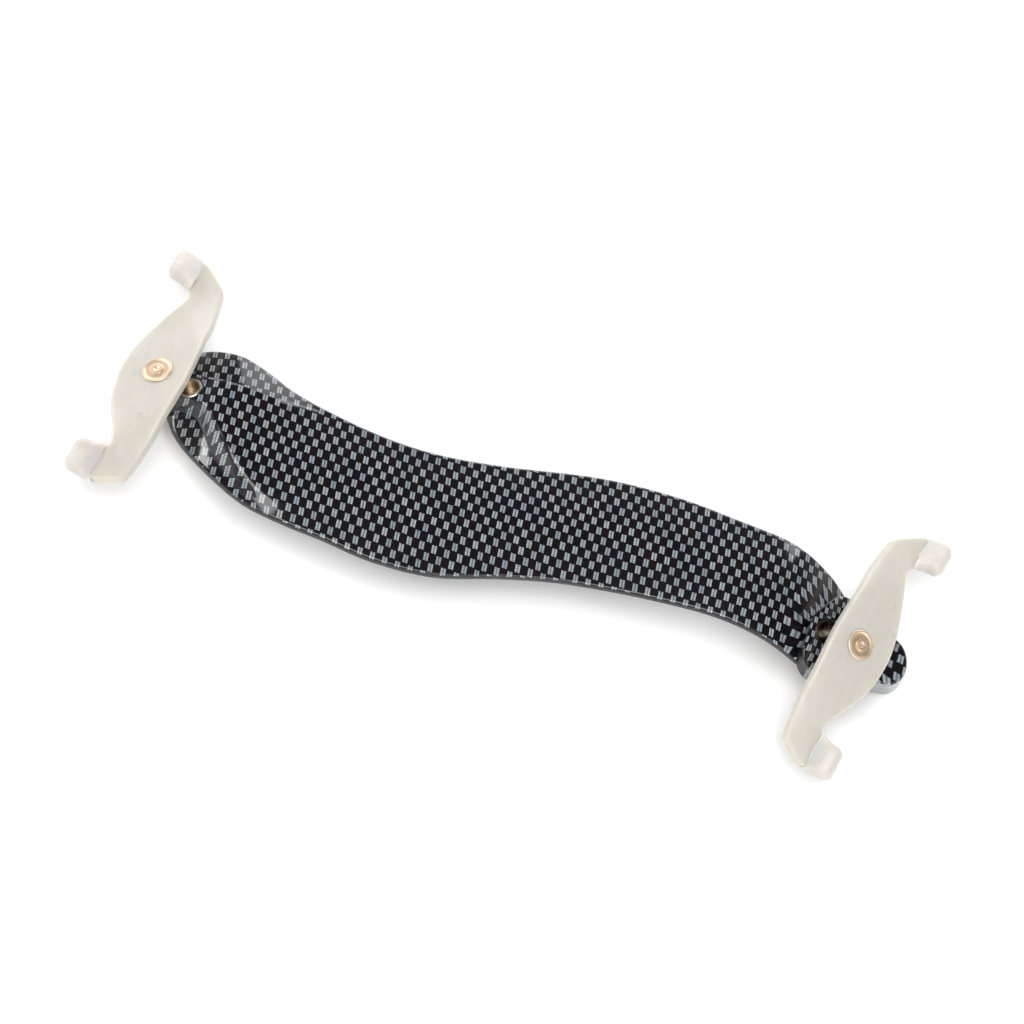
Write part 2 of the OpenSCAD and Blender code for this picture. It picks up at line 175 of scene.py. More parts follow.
def shade(obj, angle=32):
    """Smooth shading, with edges sharper than angle left crisp."""
    mesh = obj.data
    mesh.polygons.foreach_set("use_smooth", [True] * len(mesh.polygons))
    faces_of = {}
    for p in mesh.polygons:
        for k in p.edge_keys:
            faces_of.setdefault(k, []).append(p.index)
    limit = math.cos(math.radians(angle))
    normals = [p.normal.copy() for p in mesh.polygons]
    for e in mesh.edges:
        f = faces_of.get(e.key, [])
        e.use_edge_sharp = len(f) == 2 and normals[f[0]].dot(normals[f[1]]) < limit
    mesh.update()
    return obj


def angles(n):
    return [2 * math.pi * i / n for i in range(n)]


def circle(r, z, n):
    return [(r * math.cos(a), r * math.sin(a), z) for a in angles(n)]


def grid(rings, closed_ends=True):
    """Vertices and faces through rings of equal length; the ends are n-gons."""
    n, m = len(rings[0]), len(rings)
    verts = [p for r in rings for p in r]
    faces = []
    for j in range(m - 1):
        for i in range(n):
            k = (i + 1) % n
            faces.append((j * n + i, (j + 1) * n + i, (j + 1) * n + k, j * n + k))
    if closed_ends:
        faces.append(tuple(range(n)))
        faces.append(tuple(range(m * n - 1, (m - 1) * n - 1, -1)))
    return verts, faces


def loft(name, rings, matrix=Matrix.Translation(SHIFT)):
    obj = make(name, *grid(rings), matrix)
    outward(obj)
    return obj


def outward(obj):
    """Turns every face of a closed mesh outwards."""
    bm = bmesh.new()
    bm.from_mesh(obj.data)
    bmesh.ops.recalc_face_normals(bm, faces=bm.faces)
    bm.to_mesh(obj.data)
    bm.free()


def settle(obj):
    """Applies the object's modifiers to its mesh."""
    bpy.context.view_layer.update()
    dg = bpy.context.evaluated_depsgraph_get()
    mesh = bpy.data.meshes.new_from_object(obj.evaluated_get(dg))
    obj.modifiers.clear()
    obj.data = mesh


def boolean(obj, tool, how):
    """Joins tool to obj, or cuts it out of obj; the tool is used up."""
    mod = obj.modifiers.new("cut", "BOOLEAN")
    mod.operation, mod.solver, mod.object = how, "EXACT", tool
    settle(obj)
    bpy.data.objects.remove(tool)


def lathe(name, profile, matrix, n=96, wobble=None):
    """Closed solid of revolution; profile is a closed loop of (radius, z)."""
    rings = []
    for a in angles(n):
        row = [(r + (wobble(a, r) if wobble else 0), z) for r, z in profile]
        rings.append([(r * math.cos(a), r * math.sin(a), z) for r, z in row])
    m = len(profile)
    verts = [p for r in rings for p in r]
    faces = []
    for j in range(n):
        for i in range(m):
            k, l = (i + 1) % m, (j + 1) % n
            faces.append((j * m + i, l * m + i, l * m + k, j * m + k))
    obj = make(name, verts, faces, matrix)
    outward(obj)
    return obj


def thread(z, a, low, high):
    """Radius of a helical thread between the radii low and high, with flattened tops."""
    t = (z / PITCH - a / (2 * math.pi)) % 1
    ramp = 1 - abs(2 * t - 1)
    return mix(low, high, min(max((ramp - 0.12) * 1.35, 0), 1))


def rod(name, z0, z1, matrix, top, n=60):
    """Threaded rod from z0 to z1, closed by a chamfered end below and the profile top above."""
    rings = [circle(0.9, z0, n)]
    steps = int((z1 - z0) / 0.08)
    for j in range(steps + 1):
        z = mix(z0, z1, j / steps)
        chamfer = 1.7 + (z - z0) * 0.8
        radii = [min(thread(z, a, SCREW_ROOT, SCREW_CREST), chamfer) for a in angles(n)]
        rings.append([(r * math.cos(a), r * math.sin(a), z + 0.001)
                      for r, a in zip(radii, angles(n))])
    rings += [circle(r, z, n) for r, z in top]
    return loft(name, rings, matrix)


# ---- materials ----

# How far light scatters in the milky plastics, in metres
SCATTER = 0.003


def nodes_of(name):
    """New material with its node tree and its main shader."""
    mat = bpy.data.materials.new(name)
    mat.use_nodes = True
    tree = mat.node_tree
    return mat, tree, tree.nodes["Principled BSDF"]


class Net:
    """Short way to wire shader nodes. Scales of object-space textures are per metre."""

    def __init__(self, tree):
        self.tree = tree

    def node(self, kind, **values):
        n = self.tree.nodes.new(kind)
        for k, v in values.items():
            if hasattr(n, k):
                setattr(n, k, v)
            else:
                n.inputs[k.replace("_", " ")].default_value = v
        return n

    def link(self, a, b):
        self.tree.links.new(a, b)

    def math(self, op, a, b=None, c=None):
        n = self.node("ShaderNodeMath", operation=op)
        for i, v in enumerate((a, b, c)):
            if v is None:
                continue
            if isinstance(v, (int, float)):
                n.inputs[i].default_value = v
            else:
                self.link(v, n.inputs[i])
        return n.outputs[0]

    def vector(self, op, a, b=None):
        n = self.node("ShaderNodeVectorMath", operation=op)
        for slot, v in ((0, a), (3 if op == "SCALE" else 1, b)):
            if isinstance(v, tuple):
                n.inputs[slot].default_value = v
            elif v is not None:
                self.link(v, n.inputs[slot])
        return n.outputs[1 if op in ("LENGTH", "DOT_PRODUCT") else 0]

    def mix(self, fac, a, b, kind="MIX"):
        n = self.tree.nodes.new("ShaderNodeMix")
        n.data_type, n.blend_type = "RGBA", kind
        for i, v in ((0, fac), (6, a), (7, b)):
            if isinstance(v, (int, float)):
                n.inputs[i].default_value = v
            elif isinstance(v, tuple):
                n.inputs[i].default_value = (*v, 1) if len(v) == 3 else v
            else:
                self.link(v, n.inputs[i])
        return n.outputs[2]

    def place(self):
        return self.tree.nodes.new("ShaderNodeTexCoord").outputs["Object"]

    def noise(self, scale, detail=3.0, rough=0.55, vector=None):
        n = self.node("ShaderNodeTexNoise", Scale=scale, Detail=detail, Roughness=rough)
        self.link(vector or self.place(), n.inputs["Vector"])
        return n.outputs["Fac"]

    def spread(self, value, low, high, out_low, out_high, how="LINEAR"):
        n = self.node("ShaderNodeMapRange", interpolation_type=how)
        for i, v in enumerate((low, high, out_low, out_high)):
            n.inputs[i + 1].default_value = v
        self.link(value, n.inputs[0])
        return n.outputs[0]

    def bump(self, height, strength, distance):
        n = self.node("ShaderNodeBump", Strength=strength, Distance=distance)
        self.link(height, n.inputs["Height"])
        return n.outputs[0]


def finish(bsdf, **values):
    """Sets inputs of the main shader by name, with _ for each space."""
    for k, v in values.items():
        bsdf.inputs[k.replace("_", " ")].default_value = v


def print_material():
    """Black and silver-grey chequered print under a clear glossy lacquer."""
    mat, tree, bsdf = nodes_of("printed_lacquer")
    net = Net(tree)
    place = net.node("ShaderNodeUVMap", uv_map="print").outputs[0]
    # the film is drawn out round the foot of the right pad
    arm = net.vector("SUBTRACT", place, PAD_MIDDLE)
    reach = net.vector("LENGTH", arm)
    near = net.math("MINIMUM", net.math("MULTIPLY", reach, PULL / PULL_FADE[0]), PULL)
    pull = net.math("MULTIPLY", near, net.spread(reach, *PULL_FADE, 1, 0, "SMOOTHSTEP"))
    place = net.vector("ADD", place, net.vector("SCALE", net.vector("NORMALIZE", arm), pull))
    # and it lies a little unevenly everywhere
    drift = net.node("ShaderNodeTexNoise", Scale=0.05, Detail=1.0)
    net.link(place, drift.inputs["Vector"])
    place = net.vector("ADD", place,
                       net.vector("MULTIPLY", drift.outputs["Color"], (1.0, 0.9, 0)))
    # cell number and place in the cell; every other cell is light, with a dark margin
    u = net.math("ADD", net.vector("DOT_PRODUCT", place, (*CELL[0], 0)), 0.25)
    v = net.math("ADD", net.vector("DOT_PRODUCT", place, (*CELL[1], 0)), 0.4)
    iu, iv = net.math("FLOOR", u), net.math("FLOOR", v)
    fu, fv = net.math("SUBTRACT", u, iu), net.math("SUBTRACT", v, iv)
    parity = net.math("FLOORED_MODULO", net.math("ADD", iu, iv), 2)
    du = net.math("ABSOLUTE", net.math("SUBTRACT", fu, 0.5))
    dv = net.math("ABSOLUTE", net.math("SUBTRACT", fv, 0.5))
    inside = net.math("MULTIPLY", net.spread(du, 0.405, 0.35, 0, 1),
                      net.spread(dv, 0.44, 0.39, 0, 1))
    light = net.math("MULTIPLY", parity, inside)

    def wave(value, count, depth):
        """Brightness of count bars across a cell, from 1 - 2 * depth between them to 1."""
        cosine = net.math("COSINE", net.math("MULTIPLY", value, 2 * count * math.pi))
        return net.math("MULTIPLY_ADD", cosine, -depth, 1 - depth)

    # two columns of four short bars in each light cell
    bars = net.math("MULTIPLY", wave(fu, 2, 0.5), wave(fv, 4, 0.3))
    cell = net.node("ShaderNodeCombineXYZ")
    net.link(iu, cell.inputs[0])
    net.link(iv, cell.inputs[1])
    grain = net.node("ShaderNodeTexWhiteNoise", noise_dimensions="3D")
    net.link(cell.outputs[0], grain.inputs["Vector"])
    tone = net.spread(grain.outputs["Value"], 0, 1, 0.84, 1.14)
    fine = net.noise(2600, 2.0)
    level = net.math("MULTIPLY", net.math("MULTIPLY_ADD", bars, 0.9, 0.32), tone)
    level = net.math("MULTIPLY", level, net.spread(fine, 0.3, 0.7, 0.75, 1.2))
    silver = net.mix(grain.outputs["Value"], (0.285, 0.325, 0.365), (0.315, 0.345, 0.365))
    silver = net.mix(1.0, silver, level, "MULTIPLY")
    dark = net.mix(grain.outputs["Value"], (0.0022, 0.0024, 0.0042), (0.0058, 0.0026, 0.0034))
    net.link(net.mix(light, dark, silver), bsdf.inputs["Base Color"])
    net.link(net.spread(light, 0, 1, 0.42, 0.33), bsdf.inputs["Roughness"])
    net.link(net.bump(net.noise(520, 2.0), 0.05, 0.0001), bsdf.inputs["Coat Normal"])
    finish(bsdf, Coat_Weight=1.0, Coat_Roughness=0.1, Coat_IOR=1.5, Specular_IOR_Level=0.08)
    return mat


def plastic_material(name, colour, rough, coarse=900, coat=0.0):
    """Moulded plastic with a fine grain and a faint mottle."""
    mat, tree, bsdf = nodes_of(name)
    net = Net(tree)
    n = net.noise(coarse, 4.0)
    tone = net.spread(net.noise(60, 3.0), 0.3, 0.7, 0.82, 1.18)
    net.link(net.mix(1.0, colour, tone, "MULTIPLY"), bsdf.inputs["Base Color"])
    net.link(net.spread(n, 0.3, 0.7, rough - 0.08, rough + 0.1), bsdf.inputs["Roughness"])
    net.link(net.bump(n, 0.25, 0.0001), bsdf.inputs["Normal"])
    finish(bsdf, Coat_Weight=coat, Coat_Roughness=0.1)
    return mat


def foam_material():
    """Fine closed-cell foam: small open pores, painted darker at their centres as shade inside
    them, over a soft mottle.
    """
    mat, tree, bsdf = nodes_of("fine_foam")
    net = Net(tree)
    place = net.place()
    pores = net.node("ShaderNodeTexVoronoi", Scale=1500)
    net.link(place, pores.inputs["Vector"])
    pits = net.spread(pores.outputs["Distance"], 0.05, 0.55, 0, 1)
    height = net.math("ADD", pits, net.math("MULTIPLY", net.noise(420, 4.0), 1.2))
    mottle = net.spread(net.noise(90, 4.0), 0.3, 0.7, 0, 1)
    base = net.mix(mottle, (0.020, 0.020, 0.021), (0.034, 0.033, 0.034))
    # the pores' centres are painted darker: painted shade inside the pits
    net.link(net.mix(net.math("MULTIPLY", pits, 0.6), (0.009, 0.009, 0.010), base),
             bsdf.inputs["Base Color"])
    net.link(net.spread(pits, 0, 1, 0.96, 0.8), bsdf.inputs["Roughness"])
    net.link(net.bump(height, 0.55, 0.00035), bsdf.inputs["Normal"])
    finish(bsdf, Sheen_Weight=0.12, Sheen_Roughness=0.6, Specular_IOR_Level=0.3)
    return mat


def milky_material(name, colour, other, rough, through):
    """Milky translucent moulded plastic with faint flow marks."""
    mat, tree, bsdf = nodes_of(name)
    net = Net(tree)
    place = net.place()
    cloud = net.spread(net.noise(95, 3.0), 0.3, 0.7, 0, 1)
    stretch = net.node("ShaderNodeMapping")
    stretch.inputs["Scale"].default_value = (1, 0.25, 1)
    net.link(place, stretch.inputs["Vector"])
    flow = net.noise(600, 2.0, vector=stretch.outputs[0])
    base = net.mix(cloud, colour, other)
    base = net.mix(1.0, base, net.spread(flow, 0.3, 0.7, 0.97, 1.03), "MULTIPLY")
    net.link(base, bsdf.inputs["Base Color"])
    net.link(net.spread(net.noise(300, 4.0), 0.3, 0.7, rough - 0.06, rough + 0.08),
             bsdf.inputs["Roughness"])
    net.link(net.bump(net.noise(260, 3.0), 0.12, 0.00015), bsdf.inputs["Normal"])
    finish(bsdf, Transmission_Weight=through, IOR=1.46, Subsurface_Weight=0.8,
           Subsurface_Radius=(SCATTER, SCATTER * 0.85, SCATTER * 0.6), Subsurface_Scale=1.0)
    return mat


def metal_material(name, colour, other, rough):
    """Turned metal, stained from colour towards other."""
    mat, tree, bsdf = nodes_of(name)
    net = Net(tree)
    stain = net.spread(net.noise(280, 4.0), 0.35, 0.7, 0, 1)
    net.link(net.mix(stain, colour, other), bsdf.inputs["Base Color"])
    n = net.noise(2100, 3.0)
    net.link(net.spread(n, 0.3, 0.7, rough - 0.07, rough + 0.1), bsdf.inputs["Roughness"])
    net.link(net.bump(n, 0.12, 0.00005), bsdf.inputs["Normal"])
    finish(bsdf, Metallic=1.0)
    return mat


MATERIALS = {
    "print": print_material(),
    "under": plastic_material("moulded_black", (0.014, 0.014, 0.016), 0.42),
    # the right pad's side wall: bare lacquer, its light grey a painted reflection of the white
    # floor
    "edge": plastic_material("pad_wall_painted_reflection", (0.21, 0.22, 0.235), 0.3, 300, 1.0),
    "film": plastic_material("adhesive_film", (0.42, 0.38, 0.28), 0.55),
    "foam": foam_material(),
    "nylon": milky_material("milky_nylon", (0.535, 0.52, 0.465), (0.565, 0.535, 0.485),
                            0.33, 0.03),
    "sleeve": milky_material("milky_vinyl", (0.535, 0.515, 0.48), (0.565, 0.525, 0.495),
                             0.3, 0.0),
    "brass": metal_material("turned_brass", (0.70, 0.50, 0.22), (0.55, 0.38, 0.16), 0.28),
    # the right inner insert: brass darkened nearly to black as painted shade down its bore
    "right_bore_black_brass": metal_material("right_bore_painted_shade_insert", (0.09, 0.075, 0.055),
                                 (0.035, 0.03, 0.027), 0.3),
    # the left inner insert: brass darkened to brown as painted shade down its bore
    "left_bore_shaded_brass": metal_material("left_bore_shaded_brass", (0.42, 0.29, 0.15), (0.16, 0.11, 0.07), 0.34),
    "nickel": metal_material("nickel_plate", (0.78, 0.77, 0.74), (0.70, 0.68, 0.64), 0.2),
    "rivet": metal_material("worn_rivet_brass", (0.86, 0.68, 0.50), (0.80, 0.61, 0.42), 0.42),
}


def dress(obj, *names):
    """Gives obj these materials; a face's material_index counts along them."""
    obj.data.materials.clear()
    for n in names:
        obj.data.materials.append(MATERIALS[n])
    return obj


def mount(obj, body, node):
    """Fixes obj to a body of the frame, in place of the CAD node."""
    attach(obj, body)
    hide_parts(node)


# ---- base shell ----

# Rise of the left lug's flat top along x and across y
LUG_RUN = math.tan(math.radians(SPLAY))
LUG_CROSS = math.tan(math.radians(LEAN)) / math.cos(math.radians(SPLAY))


def left_lug_z(x, y):
    return SOCKET[2] + LUG_RUN * (x + SOCKET[0]) - LUG_CROSS * (y + SOCKET[1])


def nose(x):
    """Half width of the ridge's rounded nose."""
    d = min(x + SOCKET[0], 0)
    return math.sqrt(max(NOSE_R ** 2 - d * d, 0.3))


def ridge_y0(x):
    return -SOCKET[1] - nose(x) if x < -SOCKET[0] else curve(RIDGE_FRONT, x)


def ridge_y1(x):
    return -SOCKET[1] + nose(x) if x < -SOCKET[0] else curve(RIDGE_REAR, x)


def front_wall(x):
    return mix(*FRONT_WALL, ease(x, *FRONT_WALL_X))


# The rims never end inside the ridge's walls: past the nose they follow the walls' feet

def rim0(x):
    foot = ridge_y0(x) - front_wall(x) - 0.25 if x < RIDGE_END else 99
    return min(curve(FRONT_RIM, x) if x >= FRONT_RIM[0][0] else 9, foot)


def rim1(x):
    foot = ridge_y1(x) + REAR_WALL + 0.25 if x < RIDGE_END else -99
    return max(curve(REAR_RIM, x) if x >= REAR_RIM[0][0] else -9, foot)


class Section:
    """The plate's section at one x, from its front rim a to its rear rim b."""

    def __init__(self, x):
        self.x, self.a, self.b = x, rim0(x), rim1(x)
        self.mid, self.half = (self.a + self.b) / 2, (self.b - self.a) / 2
        self.line = curve(PLATE_LINE, x)
        self.crown = CROWN + 1.2 * ease(-x, 50, 78)
        self.ridge_line = curve(RIDGE_LINE, x)

    def plate(self, y):
        """Height of the plate's top, without the ridge."""
        k = (y - self.mid) / self.half
        return self.line - self.crown * k * k

    def ridge(self, y):
        """Height of the ridge's top."""
        x, lug = self.x, left_lug_z(self.x, y)
        if x < LUG_X[0]:
            return lug
        return mix(mix(lug, self.ridge_line, ease(x, *LUG_X)), self.plate(y), ease(x, *RIDGE_X))

    def top(self, y, s):
        """Point of the top, s of the way up from the plate to the ridge."""
        return (self.x, y, mix(self.plate(y), self.ridge(y), s if self.x < RIDGE_X[1] else 0))


def rows(a, b, n):
    """n values from a towards b, without b."""
    return [mix(a, b, i / n) for i in range(n)]


def shell_ring(x):
    s = Section(x)
    r = min(EDGE_R, 0.2 + s.half / 40)
    if x < RIDGE_END:
        r0, r1, w0, w1 = ridge_y0(x), ridge_y1(x), front_wall(x), REAR_WALL
    else:
        r0, r1, w0, w1 = s.mid - 0.55 * s.half, s.mid + 0.55 * s.half, 1.5, 1.5

    def up(t):
        return curve(STEPS, t)

    ring = [s.top(y, 0) for y in rows(s.a + r, r0 - w0, 14)]
    ring += [s.top(r0 - w0 * (1 - t), up(t)) for t in rows(0, 1, 14)]
    ring += [s.top(y, 1) for y in rows(r0, r1, 22)[1:]]
    ring += [s.top(r1 + w1 * t, up(1 - t)) for t in rows(0, 1, 12)]
    ring += [s.top(y, 0) for y in rows(r1 + w1, s.b - r, 10)]

    def rim(side):
        """Points down one rim: a round edge, a wall and a smaller round edge."""
        y0 = s.a if side < 0 else s.b
        pts = []
        for a in np.radians(range(0, 91, 15)):
            y = y0 - side * r * (1 - math.sin(a))
            pts.append((x, y, s.plate(y) - r * (1 - math.cos(a))))
        z, low_r = s.plate(y0) - RIM_H, 0.5
        pts.append((x, y0, z + 0.7))
        for a in np.radians(range(15, 91, 25)):
            pts.append((x, y0 - side * low_r * (1 - math.cos(a)), z + low_r * (1 - math.sin(a))))
        return pts

    a, b = s.a + UNDER_INSET, s.b - UNDER_INSET
    under = [(x, y, s.plate(y) - PLATE_T) for y in rows(a, b, 24) + [b]]
    return ring + rim(1) + under[::-1] + rim(-1)[::-1]


def stations():
    """Places of the shell's rings, closer together towards the left end."""
    xs = [SHELL_START + 4 * (1 - math.cos(math.radians(i * 5))) for i in range(16)]
    x = xs[-1] + 0.5
    while x < SHELL_END - 0.3:
        xs.append(x)
        x += 0.8 if x > -52 else 0.6
    return xs + [SHELL_END]


def pad_edge(a, d):
    """Point of the pad's outline in the outward direction a, moved in by d."""
    c = max(PAD_ARCS, key=lambda q: q[0] * math.cos(a) + q[1] * math.sin(a) + q[2])
    return c[0] + (c[2] - d) * math.cos(a), c[1] + (c[2] - d) * math.sin(a)


def pad_ring(inset, depth):
    """Ring round the pad's tilted top, moved in by inset and straight down by depth."""
    tilt = (turn(SPLAY, "Y") @ turn(LEAN, "X")).to_3x3()
    out = []
    for a in angles(180):
        p = tilt @ Vector((*pad_edge(a, inset), 0))
        out.append((p.x, p.y, p.z - depth))
    return out


def right_pad():
    """The raised pad: a round top edge over a wall that flares towards its foot."""
    r = 0.8
    steps = [(r * (1 - math.sin(a)), r * (1 - math.cos(a)))
             for a in np.radians(np.arange(0, 91, 11.25))]
    steps += [(0, 1.6), (-0.15, 3), (-0.4, PAD_H)]
    return loft("pad_tool", [pad_ring(*s) for s in steps],
                Matrix.Translation(Vector(SHIFT) + Vector(SOCKET)))


def hole_tool(matrix):
    """Bore for one insert, chamfered at its mouth, over a narrower one for the screw."""
    profile = [(CLEARANCE_R, -INSERT_L - 6), (CLEARANCE_R, -INSERT_L), (INSERT_R, -INSERT_L),
               (INSERT_R, -0.2), (INSERT_R + 0.25, 0.05), (INSERT_R + 0.25, 1.2)]
    return loft("hole_tool", [circle(r, z, 96) for r, z in profile], matrix)


shell = loft("printed_shell", [shell_ring(x) for x in stations()])
boolean(shell, right_pad(), "UNION")
for side in (-1, 1):
    for place in (at_socket(side), at_inner(side)):
        boolean(shell, hole_tool(place), "DIFFERENCE")
dress(shell, "print", "under", "edge")
PRINT, UNDER, PAD_WALL_REFLECTION = range(3)
# The pad starts at PAD_X, and the lug's bare nose ends at NOSE_X
PAD_X, NOSE_X = 84, -89
hole_frames = [np.array(f(side)) for side in (-1, 1) for f in (at_socket, at_inner)]


def in_hole(face):
    """Whether a face belongs to the wall of a bore."""
    for m in hole_frames:
        d, n = np.array(face.center) / MM - m[:3, 3], m[:3, 2]
        if np.linalg.norm(d - n * d.dot(n)) < 3.5 and abs(np.dot(n, face.normal)) < 0.8:
            return True
    return False


def shell_material(face):
    """The print covers the top; the underside, bores, rims and nose are bare plastic; the right
    pad's side wall is bare lacquer painted light grey as a painted reflection of the floor.
    """
    c, n = face.center / MM - Vector(SHIFT), face.normal
    to_rim = min(abs(c.y - rim0(c.x)), abs(c.y - rim1(c.x)))
    if n.z < -0.3 or in_hole(face) or (c.x < PAD_X and abs(n.z) < 0.6 and to_rim < 0.45):
        return UNDER
    if c.x < NOSE_X and abs(n.z) < 0.42:
        return UNDER
    # the right pad's side wall takes the light grey that paints in its reflection of the floor
    return PAD_WALL_REFLECTION if c.x > PAD_X and abs(n.z) < 0.35 and n.x > -0.2 else PRINT


mesh = shell.data
for face in mesh.polygons:
    face.material_index = shell_material(face)

# the print's coordinates: length along the curved plate, and distance across it
line_x = np.arange(-101, 118, 0.25)
line_z = np.array([curve(PLATE_LINE, x) for x in line_x])
line_s = np.concatenate([[0], np.cumsum(np.hypot(np.diff(line_x), np.diff(line_z)))])
line_s -= np.interp(0, line_x, line_s)
flat = np.array([v.co[:2] for v in mesh.vertices]) / MM - np.array(SHIFT[:2])
flat[:, 0] = np.interp(flat[:, 0], line_x, line_s)
layer = mesh.uv_layers.new(name="print")
for loop in mesh.loops:
    layer.data[loop.index].uv = flat[loop.vertex_index]
shade(shell, 34)
mount(shell, "base", "base_shell")

dress(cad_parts["pad_adhesive"], "film")

# ---- foam pad ----


def foam_ring(x):
    """Section of the foam: its sides lean in and bulge, and its underside is rounded."""
    s = Section(x)
    top = 2 * FIT + FILM_T
    d = FOAM_T * (0.45 + 0.55 * ease(x, FOAM_X[0], -60) * ease(-x, -FOAM_X[1], -56))
    edge = s.half - INSET
    ring = [(x, y, s.plate(y) - PLATE_T - top)
            for y in rows(s.mid - edge, s.mid + edge, 16) + [s.mid + edge]]
    low = []
    for i in range(33):
        k = 1 - i / 16
        e = abs(k) ** 3
        low.append((x, s.mid + k * (edge - 0.42 * d * (1 - 0.15 * e)),
                    s.plate(s.mid) - PLATE_T - top - d * (1 - 0.28 * e)))

    def side_wall(p, q):
        """Points from p to q, bulging away from the foam's middle."""
        out = []
        for i in range(1, 6):
            t = i / 6
            b = 0.09 * math.sin(math.pi * t) * (1 if q[1] > s.mid else -1)
            out.append((x, mix(p[1], q[1], t) + b * d, mix(p[2], q[2], t)))
        return out

    return ring + side_wall(ring[-1], low[0]) + low + side_wall(ring[0], low[-1])[::-1]


foam = loft("foam_cushion", [foam_ring(mix(*FOAM_X, i / 160)) for i in range(161)])
# soften its edges, and let its surface swell a little unevenly
mod = foam.modifiers.new("remesh", "REMESH")
mod.mode, mod.voxel_size = "VOXEL", 0.9 * MM
mod = foam.modifiers.new("soften", "SMOOTH")
mod.factor, mod.iterations = 0.5, 6
mod = foam.modifiers.new("swell", "DISPLACE")
tex = bpy.data.textures.new("swell", "CLOUDS")
tex.noise_scale = 0.012
mod.texture, mod.strength, mod.mid_level, mod.texture_coords = tex, 0.25 * MM, 0.6, "LOCAL"
settle(foam)
dress(foam, "foam")
foam.data.polygons.foreach_set("use_smooth", [True] * len(foam.data.polygons))
mount(foam, "base", "foam_pad")

# ---- brass inserts, screws, nuts and washers ----


def insert(name, matrix, node, material, mouth):
    """Threaded insert; material is its body's and mouth that of its top 0.6 mm."""
    n, steps = 72, 64
    top, low = -0.18, -INSERT_L
    rings = []
    for j in range(steps + 1):
        z = mix(low, top, j / steps)
        lead_in = INSERT_CREST + max(0, z - (top - 0.45))
        radii = [max(thread(z, a, INSERT_CREST, INSERT_ROOT), lead_in) for a in angles(n)]
        rings.append([(r * math.cos(a), r * math.sin(a), z) for r, a in zip(radii, angles(n))])
    outside = ((3.1, top), (3.27, top - 0.15), (3.27, top - 0.8), (3.2, low))
    rings += [circle(r, z, n) for r, z in outside]
    verts, faces = grid(rings, False)
    m = len(rings)
    for i in range(n):
        k = (i + 1) % n
        faces.append(((m - 1) * n + i, i, k, (m - 1) * n + k))
    obj = make(name, verts, faces, matrix)
    outward(obj)
    shade(dress(obj, material, mouth), 40)
    back = matrix.inverted()
    for p in obj.data.polygons:
        if (back @ (p.center / MM)).z > -0.6:
            p.material_index = 1
    mount(obj, "base", node)


def post_top():
    """Profile above the thread: flange, neck and riveted head with a small dimple."""
    f, r, t = FLANGE_Z, FLANGE_R, FORK_TOP
    return [(2.0, f - 0.001), (r - 0.15, f), (r, f + 0.12), (r, f + FLANGE_T - 0.12),
            (r - 0.12, f + FLANGE_T), (NECK_R, f + FLANGE_T + 0.001), (NECK_R, t + 0.1),
            (STUD_R, t + 0.12), (STUD_R, t + 0.62), (1.5, t + 0.78), (1.25, t + 0.85),
            (0.8, t + 0.82), (0.55, t + 0.68), (0.3, t + 0.62)]


def nut(name, side):
    """Knurled lock nut."""
    r = NUT_R
    profile = [(2.55, NUT_Z), (r - 0.4, NUT_Z), (r - 0.08, 0.28), (r, 0.4), (r, 0.9),
               (r - 0.08, 1.02), (r - 0.4, NUT_TOP), (2.75, NUT_TOP), (2.55, 1.05)]

    def knurl(a, radius):
        if radius < r - 0.5:
            return 0
        t = (a * TEETH / (2 * math.pi)) % 1
        return -0.36 * abs(2 * t - 1) ** 1.4

    obj = lathe(name, profile, at_socket(side), 360, knurl)
    return shade(dress(obj, "nickel"), 38)


# ---- forks and claw sleeves ----


def fork_z(x, y):
    """Height of the fork's top: a faint crown, and a twist that lifts the claws."""
    return curve(TWIST, abs(y)) * (x - TWIST_X) - FORK_CROWN * (x * x + y * y / 3)


def fork_ring(y, inset):
    """Ring of the plate at y, with rounded edges and a small ledge round its side."""
    a, b = curve(FORK_INNER, abs(y)) + inset, curve(FORK_OUTER, abs(y)) - inset
    top, low = -inset, inset - FORK_T
    r, low_r, ledge = min(0.65, (b - a) * 0.3), 0.4, 0.16

    def side_wall(x, out):
        """Points down one side; out is 1 on the outer side and -1 on the inner one."""
        pts = [(x - out * r * (1 - math.sin(t)), top - r * (1 - math.cos(t)))
               for t in np.radians(np.arange(0, 91, 15))]
        pts += [(x, low + 1.45), (x - out * 0.04, low + 1.33), (x - out * ledge, low + 1.28),
                (x - out * ledge, low + low_r)]
        pts += [(x - out * (ledge + low_r * (1 - math.cos(t))), low + low_r * (1 - math.sin(t)))
                for t in np.radians(np.arange(22.5, 91, 22.5))]
        return pts

    right, left = side_wall(b, 1), side_wall(a, -1)
    pts = [(x, top) for x in rows(a + r, b - r, 18)[1:]] + right
    pts += [(x, low) for x in rows(right[-1][0], left[-1][0], 10)[1:]] + left[::-1]
    return [(x, y, fork_z(x, y) + z) for x, z in pts]


def at_claw(side, end):
    """Frame of one claw: x along it, z = 0 on the middle of its core."""
    return (at_fork(side) @ Matrix.Translation((TWIST_X, end * CLAW_Y, 0)) @ turn(-CLAW_SLOPE, "Y")
            @ Matrix.Translation((CLAW_START, 0, -FORK_T / 2 * math.cos(math.radians(CLAW_SLOPE))))
            @ turn(-end * CLAW_ROLL, "X"))


def claw_core(matrix, grow, start):
    """The nylon tongue inside a sleeve, from x = start and grown all round by grow."""
    x, y, z = CORE[0] + grow, CORE[1] / 2 + grow, CORE[2] / 2 + grow
    ring = [(y, z), (-y, z), (-y, -z), (y, -z)]
    return loft("claw_core", [[(u, v, w) for v, w in ring] for u in (start, x)], matrix)


def disc_tool(r, z0, z1, matrix):
    return loft("disc_tool", [circle(r, z, 96) for z in (z0, z1)], matrix)


